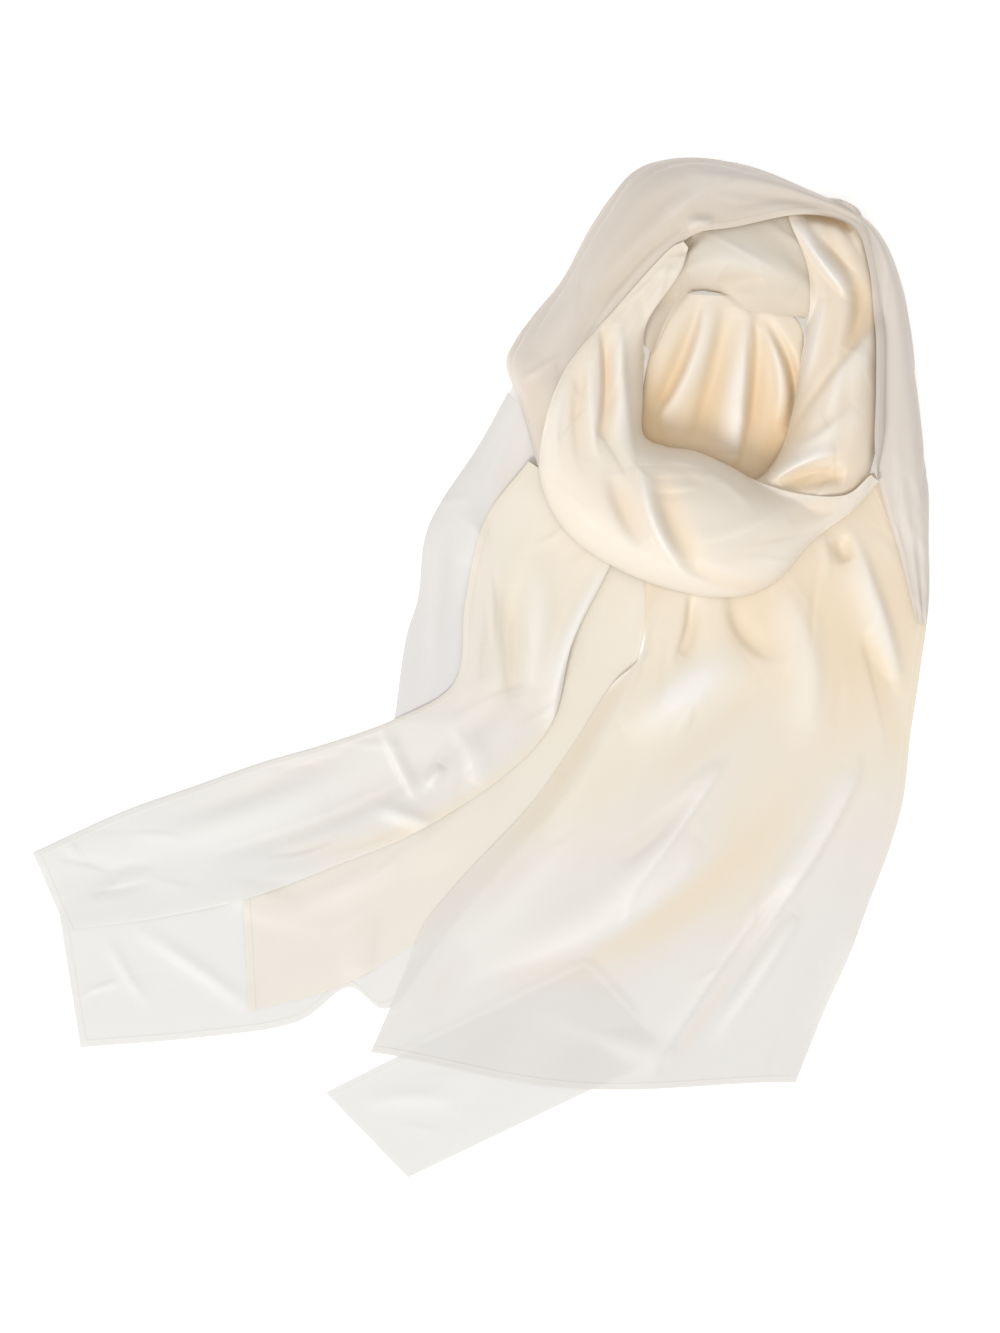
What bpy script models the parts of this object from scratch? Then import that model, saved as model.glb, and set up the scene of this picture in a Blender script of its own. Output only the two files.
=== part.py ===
"""Evening stole: one long hemmed panel of thin glossy cloth, wound once round an open neck loop and laid flat.

Sizes are in millimetres on a plan with its corner at the lower left of the stole and Z up from the surface it
lies on. Each stretch of cloth is a grid of points: sections run across it, from edge a to edge b, and folds are
added along short curves. The stretches are laid one after another, and each is lifted clear of those below it.
"""
import math
from collections import namedtuple

import bpy
import numpy as np

# Driving dimensions
METRES_PER_UNIT = 0.001
CLOTH_WALL = 1.2                 # thickness of each stretch of cloth
SEAM_GAP = 0.3                   # clearance between one stretch and the next
NECK_CENTRE = (546, 636)         # middle of the neck hollow on the plan
CORE_INSET = 16                  # the hidden layers end this far inside the cloth that covers them
CORE_DROP = 7                    # and this far below its top
PILE_CELL = 4.0                  # cell of the height map that the stretches are laid on
PILE_SIZE = (760, 860)
PILE_MARGIN = 20
IVORY = (0.86, 0.80, 0.70, 1.0)
PALE_IVORY = (0.90, 0.87, 0.80, 1.0)
WARM_IVORY = (0.84, 0.70, 0.50, 1.0)
SATIN_ROUGHNESS = 0.4

# A section of cloth: its two edges on the plan, the height of edge a, of its top and of edge b, and how far its
# middle runs on past the straight line between the edges.
Section = namedtuple("Section", "ax ay bx by height_a height_top height_b bow", defaults=(0,))

# A fold: a curve from start through middle to end, its half width and its height, negative for a trough.
Fold = namedtuple("Fold", "name start_x start_y middle_x middle_y end_x end_y width height")

# The hidden layers round the neck, by angle from +X: inner and outer radius and height of the cloth over them.
RingSection = namedtuple("RingSection", "angle inner outer height")
RING = [
    RingSection(0, 62, 130, 46),
    RingSection(30, 80, 148, 48),
    RingSection(60, 61, 172, 50),
    RingSection(90, 70, 180, 53),
    RingSection(120, 68, 174, 54),
    RingSection(150, 55, 152, 52),
    RingSection(180, 64, 164, 50),
    RingSection(210, 73, 160, 52),
    RingSection(240, 62, 167, 52),
    RingSection(270, 64, 170, 48),
    RingSection(300, 80, 149, 42),
    RingSection(330, 67, 149, 44),
]

SIDE_LEFT = [
    Section(380, 630, 412, 592, 4, 14, 18),
    Section(356, 587, 412, 560, 0, 9, 10),
    Section(326, 542, 402, 524, 0, 6, 5),
    Section(313, 512, 391, 494, 0, 4, 3),
    Section(308, 466, 380, 446, 0, 0, 0),
    Section(298, 432, 370, 406, 0, 0, 0),
    Section(289, 368, 338, 365, 0, 0, 0),
]

SIDE_RIGHT = [
    Section(664, 721, 689, 721, 30, 30, 4),
    Section(668, 672, 699, 672, 24, 26, 0),
    Section(670, 576, 712, 576, 20, 22, 0),
    Section(666, 536, 715, 532, 12, 16, 0),
    Section(671, 500, 716, 496, 6, 9, 0),
    Section(679, 464, 717, 462, 3, 6, 0),
    Section(688, 424, 710, 426, 1, 3, 0),
    Section(692, 392, 705, 389, 0, 1, 0),
]

TAIL_LEFT_LOWER = [
    Section(422, 562, 505, 496, 6, 8, 6),
    Section(382, 448, 468, 381, 0, 0, 0),
    Section(370, 384, 441, 325, 0, 0, 0),
    Section(326, 336, 385, 261, 0, 0, 0),
    Section(266, 312, 332, 198, 0, 0, 0),
    Section(230, 298, 286, 138, 0, 0, 0),
    Section(206, 288, 252, 154, 0, 0, 0),
    Section(146, 272, 210, 126, 0, 0, 0),
    Section(86, 254, 134, 114, 0, 0, 0),
    Section(20, 220, 38, 106, 0, 0, 0),
]

TAIL_LEFT_INNER = [
    Section(454, 484, 495, 456, 3, 4, 3),
    Section(425, 422, 476, 395, 1, 2, 1),
    Section(406, 358, 434, 325, 0, 1, 0),
    Section(358, 322, 378, 262, 0, 1, 0),
    Section(298, 286, 322, 203, 0, 1, 0),
    Section(234, 258, 250, 157, 0, 1, 0),
    Section(168, 232, 173, 135, 0, 1, 0),
]

TAIL_LEFT_UPPER = [
    Section(396, 574, 476, 520, 14, 18, 16),
    Section(362, 528, 454, 476, 6, 9, 8),
    Section(346, 464, 431, 429, 3, 5, 5),
    Section(338, 400, 415, 366, 2, 4, 3),
    Section(292, 370, 375, 322, 1, 4, 2),
    Section(238, 350, 306, 278, 1, 4, 2),
    Section(183, 334, 246, 253, 1, 4, 2),
    Section(126, 314, 174, 226, 1, 4, 2),
    Section(70, 294, 102, 210, 1, 3, 1),
    Section(0, 262, 27, 200, 0, 2, 0),
]
TAIL_LEFT_UPPER_FOLDS = [
    Fold("edge ridge", 457, 488, 429, 429, 412, 368, 12, 7),
    Fold("crumple", 281, 358, 292, 332, 304, 309, 13, 4),
    Fold("long swell", 238, 304, 158, 280, 62, 248, 28, 4),
]

TAIL_FRONT_TURNBACK = [
    Section(234, 70, 300, 2, 0, 0, 0),
    Section(306, 106, 373, 37, 0, 0, 0),
    Section(379, 141, 446, 72, 0, 0, 0),
    Section(442, 171, 508, 102, 0, 0, 0),
]

TAIL_FRONT = [
    Section(486, 508, 671, 565, 14, 18, 16),
    Section(490, 464, 697, 508, 6, 10, 6),
    Section(486, 420, 714, 459, 3, 4, 2),
    Section(462, 395, 710, 412, 2, 2, 1),
    Section(432, 348, 702, 356, 0, 0, 0),
    Section(398, 300, 696, 304, 0, 0, 0),
    Section(348, 247, 684, 262, 0, 0, 0),
    Section(314, 206, 668, 220, 0, 0, 0),
    Section(300, 172, 653, 180, 0, 0, 0),
    Section(286, 139, 634, 138, 0, 0, 0, 6),
    Section(270, 102, 610, 78, 0, 0, 0, 18),
]
TAIL_FRONT_FOLDS = [
    Fold("gloss swell", 567, 422, 526, 392, 473, 358, 26, 6),
    Fold("left ridge", 550, 334, 518, 286, 473, 226, 16, 5),
    Fold("middle band", 534, 272, 470, 217, 355, 170, 22, 5),
    Fold("right ridge", 658, 328, 606, 236, 510, 109, 16, 7),
    Fold("second ridge", 642, 240, 598, 176, 550, 112, 14, 5),
    Fold("ring fold", 654, 512, 678, 448, 690, 400, 14, 5),
]

NECK_BACK = [
    Section(522, 704, 590, 700, 36, 38, 36),
    Section(498, 676, 613, 676, 27, 31, 27),
    Section(486, 624, 610, 624, 12, 16, 12),
    Section(487, 588, 606, 588, 4, 8, 4),
    Section(505, 563, 596, 558, 0, 3, 0),
    Section(526, 544, 586, 540, 0, 1, 0),
]
NECK_BACK_FOLDS = [
    Fold("left pleat", 537, 698, 526, 648, 501, 608, 12, 5),
    Fold("middle pleat", 566, 684, 564, 624, 561, 580, 14, 6),
    Fold("right pleat", 584, 684, 599, 647, 597, 600, 12, 5),
]

LOOP_COLLAR = [
    Section(495, 658, 458, 686, 20, 38, 38),
    Section(508, 685, 476, 717, 20, 42, 42),
    Section(526, 706, 502, 744, 22, 46, 42),
    Section(543, 706, 538, 763, 24, 48, 42),
    Section(567, 692, 574, 768, 24, 48, 42),
    Section(594, 688, 607, 763, 24, 46, 42),
    Section(615, 686, 633, 734, 24, 42, 40),
]
LOOP_COLLAR_FOLDS = [Fold("roll", 518, 726, 562, 734, 610, 712, 20, 7)]

LOOP_RIGHT = [
    Section(602, 757, 660, 754, 46, 46, 36),
    Section(615, 724, 673, 714, 44, 48, 20),
    Section(617, 690, 676, 672, 20, 50, 14),
    Section(612, 654, 676, 630, 12, 50, 12),
    Section(607, 618, 674, 592, 10, 48, 12),
    Section(599, 587, 663, 554, 10, 44, 12),
    Section(585, 565, 639, 526, 12, 38, 14),
    Section(569, 555, 610, 512, 14, 30, 16),
]
LOOP_RIGHT_FOLDS = [
    Fold("tip ridge", 606, 756, 623, 724, 642, 704, 13, 6),
    Fold("long ridge", 663, 680, 626, 616, 590, 562, 14, 5),
    Fold("upper pocket", 651, 710, 654, 688, 648, 663, 12, -6),
    Fold("lower pocket", 597, 552, 622, 560, 644, 563, 12, -5),
]

LOOP_HOOD = [
    Section(665, 726, 689, 725, 34, 34, 4),
    Section(650, 757, 666, 763, 44, 42, 2),
    Section(610, 765, 614, 790, 50, 50, 0),
    Section(558, 755, 567, 809, 52, 54, 0),
    Section(526, 749, 519, 815, 53, 55, 0),
    Section(505, 730, 478, 803, 52, 55, 0),
    Section(484, 701, 448, 764, 50, 54, 0),
    Section(462, 670, 420, 715, 50, 52, 0),
    Section(438, 634, 389, 675, 48, 50, 0),
    Section(423, 600, 379, 652, 46, 48, 2),
    Section(418, 576, 391, 616, 36, 38, 8),
    Section(415, 555, 406, 563, 22, 24, 16),
]
LOOP_HOOD_FOLDS = [
    Fold("left ridge", 406, 656, 462, 728, 526, 772, 20, 4),
    Fold("top ridge", 502, 792, 566, 796, 638, 772, 18, 3),
]

LOOP_FRONT = [
    Section(514, 718, 503, 734, 56, 57, 55),
    Section(489, 680, 463, 690, 52, 58, 54),
    Section(488, 653, 426, 646, 14, 58, 46),
    Section(487, 622, 409, 602, 10, 58, 36),
    Section(488, 595, 406, 557, 10, 56, 24),
    Section(505, 586, 430, 514, 10, 54, 15),
    Section(529, 582, 481, 482, 12, 54, 12),
    Section(558, 569, 543, 466, 14, 52, 11),
    Section(582, 555, 588, 475, 16, 48, 11),
    Section(614, 546, 623, 512, 20, 42, 14),
    Section(646, 546, 654, 535, 24, 34, 18),
    Section(666, 562, 674, 557, 26, 28, 22),
]
LOOP_FRONT_FOLDS = [
    Fold("deep fold", 454, 672, 456, 624, 454, 584, 12, -6),
    Fold("left ridge", 478, 668, 479, 624, 486, 568, 13, 4),
    Fold("step", 486, 568, 495, 524, 522, 480, 14, 5),
    Fold("lower trough", 506, 544, 526, 508, 566, 480, 16, -5),
]


def clear_scene():
    for existing in list(bpy.data.objects):
        bpy.data.objects.remove(existing, do_unlink=True)


def through(rows, steps, closed=False):
    """Points evenly spaced along a smooth curve through the rows of a table, as steps + 1 rows."""
    rows = np.array(rows, dtype=float)
    per_span = 16
    count = len(rows)
    spans = count if closed else count - 1
    smooth = []
    for span in range(spans):
        if closed:
            before, here, there, after = (rows[(span + k) % count] for k in (-1, 0, 1, 2))
        else:
            here, there = rows[span], rows[span + 1]
            before = rows[span - 1] if span else 2 * here - there
            after = rows[span + 2] if span + 2 < count else 2 * there - here
        for k in range(per_span):
            t = k / per_span
            smooth.append(0.5 * (2 * here + (there - before) * t
                                 + (2 * before - 5 * here + 4 * there - after) * t ** 2
                                 + (3 * here - before - 3 * there + after) * t ** 3))
    smooth.append(rows[0] if closed else rows[-1])
    smooth = np.array(smooth)
    middle = (smooth[:, 0:2] + smooth[:, 2:4]) / 2
    run = np.concatenate([[0], np.cumsum(np.linalg.norm(np.diff(middle, axis=0), axis=1))])
    wanted = np.linspace(0, run[-1], steps + 1)
    return np.stack([np.interp(wanted, run, column) for column in smooth.T], axis=1)


def rounded(across, height_a, height_top, height_b):
    """Height across a section: both edges rise to the top along a quarter of a rounded arch."""
    roundness = 2.4
    from_middle = np.abs(2 * across - 1)
    arch = (1 - from_middle ** roundness) ** (1 / roundness)
    edge = np.where(across < 0.5, height_a, height_b)
    return edge + (height_top - edge) * arch


def fold_height(fold, x, y):
    """Height that a fold adds at plan points x, y: a soft ridge, lower towards both ends of its curve."""
    samples = 24
    fade_past_ends = 0.35
    t = np.linspace(0, 1, samples)
    control_x = 2 * fold.middle_x - (fold.start_x + fold.end_x) / 2
    control_y = 2 * fold.middle_y - (fold.start_y + fold.end_y) / 2
    curve_x = (1 - t) ** 2 * fold.start_x + 2 * t * (1 - t) * control_x + t ** 2 * fold.end_x
    curve_y = (1 - t) ** 2 * fold.start_y + 2 * t * (1 - t) * control_y + t ** 2 * fold.end_y
    gap = np.hypot(x[..., None] - curve_x, y[..., None] - curve_y)
    nearest = np.argmin(gap, axis=-1)
    along = t[nearest]
    strength = fade_past_ends + (1 - fade_past_ends) * np.sin(math.pi * along)
    return fold.height * strength * np.exp(-(np.min(gap, axis=-1) / fold.width) ** 2)


def sheet_points(sections, folds, along_steps, across_steps):
    """The underside of one stretch, before it is laid: a grid of points, closer together near both edges."""
    rows = through(sections, along_steps)
    across = 0.5 - 0.5 * np.cos(np.linspace(0, math.pi, across_steps + 1))
    a, b = rows[:, None, 0:2], rows[:, None, 2:4]
    plan = a + (b - a) * across[None, :, None]
    onward = np.gradient(rows[:, 0:2] + rows[:, 2:4], axis=0)
    onward /= np.linalg.norm(onward, axis=1, keepdims=True)
    plan = plan + onward[:, None, :] * (rows[:, 7, None] * np.sin(math.pi * across) ** 1.5)[..., None]
    height = rounded(across[None, :], rows[:, 4, None], rows[:, 5, None], rows[:, 6, None])
    for fold in folds:
        height = height + fold_height(fold, plan[..., 0], plan[..., 1])
    return np.dstack([plan, np.maximum(height, 0)])


def grid_triangles(rows, columns, loop=False):
    """Corner numbers of the triangles of a grid of points, two to each cell."""
    triangles = []
    for i in range(rows if loop else rows - 1):
        for j in range(columns - 1):
            here, there = i * columns + j, (i + 1) % rows * columns + j
            triangles.append((here, there, there + 1))
            triangles.append((here, there + 1, here + 1))
    return np.array(triangles)


def spread(corners, steps):
    """Points spread evenly over each triangle, its corners included."""
    weights = np.array([(i, j, steps - i - j) for i in range(steps + 1) for j in range(steps + 1 - i)]) / steps
    return np.einsum("wk,tkd->twd", weights, corners)


class Pile:
    """The height of the cloth laid so far, over the plan."""

    def __init__(self):
        self.height = np.zeros([int((side + 2 * PILE_MARGIN) / PILE_CELL) for side in PILE_SIZE])

    def cells(self, points):
        index = ((points[..., 0:2] + PILE_MARGIN) / PILE_CELL).astype(int)
        return index[..., 0], index[..., 1]

    def add(self, points, triangles):
        samples = spread(points.reshape(-1, 3)[triangles], 14)
        np.maximum.at(self.height, self.cells(samples), samples[..., 2])

    def reached(self):
        """The map with each cell raised to the highest of its neighbours, so that nothing slips between."""
        padded = np.pad(self.height, 1)
        rows, columns = self.height.shape
        return np.max([padded[i:i + rows, j:j + columns] for i in range(3) for j in range(3)], axis=0)

    def lay(self, points, triangles):
        """Lifts a grid of points until none of its triangles meets the pile."""
        rows, columns, _ = points.shape
        flat = points.reshape(-1, 3).copy()
        reached = self.reached()
        samples = spread(flat[triangles], 10)
        under = reached[self.cells(samples)]
        clearance = np.where(under > 0, under + SEAM_GAP, 0)
        need = np.max(clearance - samples[..., 2], axis=1)
        lift = np.zeros(len(flat))
        for corner in range(3):
            np.maximum.at(lift, triangles[:, corner], need)
        flat[:, 2] += lift
        return flat.reshape(rows, columns, 3)


def thickened(points):
    """The upper side of a stretch: its points moved out by the thickness of the wall."""
    along = np.gradient(points, axis=0)
    across = np.gradient(points, axis=1)
    normal = np.cross(along, across)
    normal /= np.linalg.norm(normal, axis=2, keepdims=True)
    normal *= np.sign(normal[..., 2:3])
    steepest = 0.35
    normal[..., 2] = np.maximum(normal[..., 2], steepest)
    normal /= np.linalg.norm(normal, axis=2, keepdims=True)
    return points + normal * CLOTH_WALL


def closed_mesh(name, lower, upper, loop=False):
    """A mesh of two grids of points, one over the other, joined round their edges."""
    rows, columns, _ = lower.shape
    triangles = grid_triangles(rows, columns, loop)
    count = rows * columns
    rim = []
    last = rows if loop else rows - 1
    for i in range(last):
        here, there = i * columns, (i + 1) % rows * columns
        rim.append((here, there))
        rim.append((there + columns - 1, here + columns - 1))
    if not loop:
        for j in range(columns - 1):
            rim.append((j + 1, j))
            rim.append(((rows - 1) * columns + j, (rows - 1) * columns + j + 1))
    points = np.concatenate([lower.reshape(-1, 3), upper.reshape(-1, 3)]) * METRES_PER_UNIT
    faces = [tuple(face) for face in triangles[:, ::-1]] + [tuple(face + count) for face in triangles]
    for start, end in rim:
        faces.append((start, end, end + count))
        faces.append((start, end + count, start + count))
    middle = upper.reshape(-1, 3)[triangles]
    turn = np.cross(middle[:, 1] - middle[:, 0], middle[:, 2] - middle[:, 0])[:, 2].sum()
    if turn < 0:
        faces = [face[::-1] for face in faces]
    mesh = bpy.data.meshes.new(name)
    mesh.from_pydata(points.tolist(), [], [[int(corner) for corner in face] for face in faces])
    mesh.validate()
    mesh.shade_smooth()
    mesh.set_sharp_from_angle(angle=math.radians(60))
    return mesh


def cloth_material(name, colour):
    material = bpy.data.materials.new(name)
    material.use_nodes = True
    shader = material.node_tree.nodes["Principled BSDF"]
    shader.inputs["Base Color"].default_value = colour
    shader.inputs["Roughness"].default_value = SATIN_ROUGHNESS
    shader.inputs["Metallic"].default_value = 0.0
    material.diffuse_color = colour
    return material


def add_object(name, mesh, colour):
    stretch = bpy.data.objects.new(name, mesh)
    mesh.materials.append(cloth_material(name + "_cloth", colour))
    bpy.context.collection.objects.link(stretch)
    return stretch


def lay_sheet(pile, name, sections, folds, steps, colour):
    """Lays one stretch of cloth on the pile."""
    points = sheet_points(sections, folds, *steps)
    triangles = grid_triangles(*points.shape[0:2])
    lower = pile.lay(points, triangles)
    upper = thickened(lower)
    pile.add(upper, triangles)
    return add_object(name, closed_mesh(name, lower, upper), colour)


def lay_core(pile, around_steps, over_steps):
    """The hidden layers round the neck: one rounded ring, resting on what lies under it."""
    rows = through([(math.cos(math.radians(s.angle)) * s.inner, math.sin(math.radians(s.angle)) * s.inner,
                     math.cos(math.radians(s.angle)) * s.outer, math.sin(math.radians(s.angle)) * s.outer,
                     s.height) for s in RING], around_steps, closed=True)[:-1]
    inner_radius = np.linalg.norm(rows[:, 0:2], axis=1)
    outer_radius = np.linalg.norm(rows[:, 2:4], axis=1)
    outward = rows[:, 2:4] / outer_radius[:, None]
    turn = np.linspace(0, math.pi, over_steps + 1)
    across = 0.5 - 0.5 * np.cos(turn)
    start = inner_radius[:, None] + CORE_INSET
    radius = start + (outer_radius[:, None] - CORE_INSET - start) * across
    plan = np.array(NECK_CENTRE) + outward[:, None, :] * radius[..., None]
    lower = pile.lay(np.dstack([plan, np.zeros(radius.shape)]),
                     grid_triangles(*radius.shape, loop=True))
    top = (rows[:, 4, None] - CORE_DROP) * np.sin(turn) ** 0.8
    upper = np.dstack([plan, np.maximum(top, lower[..., 2] + CLOTH_WALL)])
    pile.add(upper, grid_triangles(*radius.shape, loop=True))
    return add_object("ring_core", closed_mesh("ring_core", lower, upper, loop=True), WARM_IVORY)


def stand_on_origin(stretches):
    """Moves the stretches so that the middle of the footprint is on the origin and the lowest point at Z = 0."""
    corners = np.array([vertex.co for stretch in stretches for vertex in stretch.data.vertices])
    low, high = corners.min(axis=0), corners.max(axis=0)
    shift = (-(low[0] + high[0]) / 2, -(low[1] + high[1]) / 2, -low[2])
    for stretch in stretches:
        stretch.location = shift


def build_stole():
    pile = Pile()
    stretches = [
        lay_sheet(pile, "side_left", SIDE_LEFT, [], (8, 4), PALE_IVORY),
        lay_sheet(pile, "side_right", SIDE_RIGHT, [], (10, 4), PALE_IVORY),
        lay_sheet(pile, "tail_left_lower", TAIL_LEFT_LOWER, [], (16, 5), PALE_IVORY),
        lay_sheet(pile, "tail_left_inner", TAIL_LEFT_INNER, [], (12, 4), IVORY),
        lay_sheet(pile, "tail_left_upper", TAIL_LEFT_UPPER, TAIL_LEFT_UPPER_FOLDS, (20, 7), PALE_IVORY),
        lay_sheet(pile, "tail_front_turnback", TAIL_FRONT_TURNBACK, [], (5, 4), PALE_IVORY),
        lay_sheet(pile, "tail_front", TAIL_FRONT, TAIL_FRONT_FOLDS, (24, 18), PALE_IVORY),
        lay_sheet(pile, "neck_back", NECK_BACK, NECK_BACK_FOLDS, (10, 12), WARM_IVORY),
        lay_core(pile, 32, 8),
        lay_sheet(pile, "loop_collar", LOOP_COLLAR, LOOP_COLLAR_FOLDS, (10, 8), IVORY),
        lay_sheet(pile, "loop_right", LOOP_RIGHT, LOOP_RIGHT_FOLDS, (14, 9), IVORY),
        lay_sheet(pile, "loop_hood", LOOP_HOOD, LOOP_HOOD_FOLDS, (20, 10), IVORY),
        lay_sheet(pile, "loop_front", LOOP_FRONT, LOOP_FRONT_FOLDS, (22, 12), IVORY),
    ]
    stand_on_origin(stretches)


clear_scene()
build_stole()
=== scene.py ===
import math
from collections import namedtuple

import bpy
import numpy as np
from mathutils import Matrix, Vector


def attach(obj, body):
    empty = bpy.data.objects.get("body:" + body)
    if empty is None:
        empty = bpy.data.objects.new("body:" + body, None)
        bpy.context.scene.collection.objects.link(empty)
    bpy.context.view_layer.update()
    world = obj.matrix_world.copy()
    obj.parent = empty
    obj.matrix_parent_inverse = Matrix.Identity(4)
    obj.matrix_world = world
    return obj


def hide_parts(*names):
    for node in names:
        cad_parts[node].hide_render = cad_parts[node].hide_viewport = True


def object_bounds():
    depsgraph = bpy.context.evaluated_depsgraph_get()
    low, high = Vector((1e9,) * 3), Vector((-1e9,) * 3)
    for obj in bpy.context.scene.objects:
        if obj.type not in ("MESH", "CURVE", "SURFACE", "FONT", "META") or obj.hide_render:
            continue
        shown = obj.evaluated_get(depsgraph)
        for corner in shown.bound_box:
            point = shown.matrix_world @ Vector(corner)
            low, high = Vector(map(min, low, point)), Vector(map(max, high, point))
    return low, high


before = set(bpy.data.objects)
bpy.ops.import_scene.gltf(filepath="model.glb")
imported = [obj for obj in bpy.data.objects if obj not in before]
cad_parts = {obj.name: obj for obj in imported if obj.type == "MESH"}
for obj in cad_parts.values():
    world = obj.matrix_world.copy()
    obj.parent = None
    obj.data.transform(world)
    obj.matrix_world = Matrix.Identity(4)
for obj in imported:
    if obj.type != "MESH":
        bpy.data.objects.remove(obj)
cadLow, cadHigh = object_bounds()
print("frame loaded")

metresPerMm = 0.001
planCorner = (0, 2)              # the plan point at the low corner of the object's box
pileSize = (760, 860)
pileMargin = 20
pileCell = 2.0
layerGap = 0.5                   # clearance between one layer and the next
softMerge = 1.6                  # how softly a layer bends over the edge of what it lies on
neckCentre = (546, 636)
hemWidth = 0.006                 # metres, like all values that a material reads
sheetRise = 0.6                  # the sheet lies in the middle of its solid's wall
warmShadeFade = 1.4                 # how fast the painted warm shade near the ring fades along a stretch
foldForFullTone = 6              # a fold this high gets the full painted highlight, and a trough this deep the full painted warm shade

# A section runs across a stretch from edge a to edge b: plan points, the heights of a, of the top and of b,
# and how far its middle runs on past the straight line between the edges.
Section = namedtuple("Section", "ax ay bx by heightA heightTop heightB bow", defaults=(0,))
# A fold follows a curve from start through middle to end, with its half width and its height, negative for a
# trough. Side makes one flank steeper, from -0.9 to 0.9. In a piece's painted shade spots the height is how
# much painted warm shade it adds there, and a negative height paints a highlight instead.
Fold = namedtuple("Fold", "startX startY middleX middleY endX endY width height side", defaults=(0,))
RingSection = namedtuple("RingSection", "angle inner outer height")

sideLeft = {
    "name": "side_left_cloth",
    "nodes": ["side_left"],
    "slot": "stole_cloth",
    "steps": (150, 56),
    # painted warm shade at the stretch's start and at its end
    "warmShade": (0.15, 0.0),
    "seeThrough": 0.1,
    # how strongly the troughs are painted with warm shade
    "hollow": 0.3,
    # painted light and shade: the whole piece's colour is multiplied by it
    "paintedShading": (0.92, 0.91, 0.91),
    "flat": (0.075, 0.27),
    "restsOn": ["floor"],
    "ripples": (3, 0.7, 3),
    "crumples": (14, 1.0, 51),
    "sections": [
        Section(380, 630, 412, 592, 4, 14, 18),
        Section(356, 587, 412, 560, 0, 9, 10),
        Section(326, 542, 402, 524, 0, 6, 5),
        Section(313, 512, 391, 494, 0, 4, 3),
        Section(308, 466, 380, 446, 0, 0, 0),
        Section(298, 432, 370, 406, 0, 0, 0),
        Section(289, 368, 338, 365, 0, 0, 0),
    ],
    "folds": [
        Fold(383, 517, 374, 478, 370, 447, 9, -3, 0.4),
        Fold(349, 535, 352, 512, 348, 490, 10, 2.5),
        Fold(330, 500, 322, 450, 318, 400, 8, 1.5),
    ],
    # spots painted with warm shade; negative heights paint a highlight instead
    "paintedShadeSpots": [
        Fold(395, 590, 372, 500, 372, 430, 14, 0.5),
    ],
}

tailLeftLower = {
    "name": "tail_left_lower_cloth",
    "nodes": ["tail_left_lower"],
    "slot": "stole_cloth",
    "steps": (330, 80),
    "warmShade": (0.6, 0.0),
    "seeThrough": 0.1,
    "hollow": 0.2,
    "paintedShading": (1.0, 1.0, 1.0),
    "flat": (0.13, 0.6),
    "restsOn": ["floor"],
    "ripples": (3, 0.5, 7),
    "crumples": (26, 0.9, 52),
    "hems": ["end", "b"],
    "sections": [
        Section(422, 562, 505, 496, 6, 8, 6),
        Section(382, 448, 468, 381, 0, 0, 0),
        Section(370, 384, 441, 325, 0, 0, 0),
        Section(326, 336, 385, 261, 0, 0, 0),
        Section(266, 312, 332, 198, 0, 0, 0),
        Section(230, 298, 286, 138, 0, 0, 0),
        Section(206, 288, 252, 154, 0, 0, 0),
        Section(146, 272, 210, 126, 0, 0, 0),
        Section(86, 254, 134, 114, 0, 0, 0),
        Section(20, 220, 38, 106, 0, 0, 0),
    ],
    "folds": [
        Fold(83, 201, 130, 170, 173, 138, 7, 2),
        Fold(37, 146, 58, 156, 78, 163, 4, 1.6, 0.4),
        Fold(60, 190, 75, 165, 92, 140, 5, 1.4),
        Fold(120, 250, 180, 222, 236, 205, 9, 2),
        Fold(270, 215, 262, 185, 256, 160, 7, 2),
        Fold(300, 250, 340, 280, 372, 318, 9, 2.5),
    ],
    "paintedShadeSpots": [],
}

tailLeftInner = {
    "name": "tail_left_inner_cloth",
    "nodes": ["tail_left_inner"],
    "slot": "stole_cloth",
    "steps": (260, 52),
    "warmShade": (0.75, 0.35),
    "seeThrough": 0.1,
    "hollow": 0.2,
    "paintedShading": (1.04, 1.03, 1.0),
    "flat": (0.08, 0.42),
    "restsOn": ["tail_left_lower_cloth"],
    "ripples": (2, 0.5, 9),
    "crumples": (12, 0.7, 53),
    "hems": ["end"],
    "sections": [
        Section(466, 524, 522, 490, 4, 5, 4),
        Section(454, 484, 495, 456, 3, 4, 3),
        Section(425, 422, 476, 395, 1, 2, 1),
        Section(406, 358, 434, 325, 0, 1, 0),
        Section(358, 322, 378, 262, 0, 1, 0),
        Section(298, 286, 322, 203, 0, 1, 0),
        Section(234, 258, 250, 157, 0, 1, 0),
        Section(168, 232, 173, 135, 0, 1, 0),
    ],
    "folds": [
        Fold(300, 262, 255, 236, 200, 212, 10, 1.8),
    ],
    "paintedShadeSpots": [],
}

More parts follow.
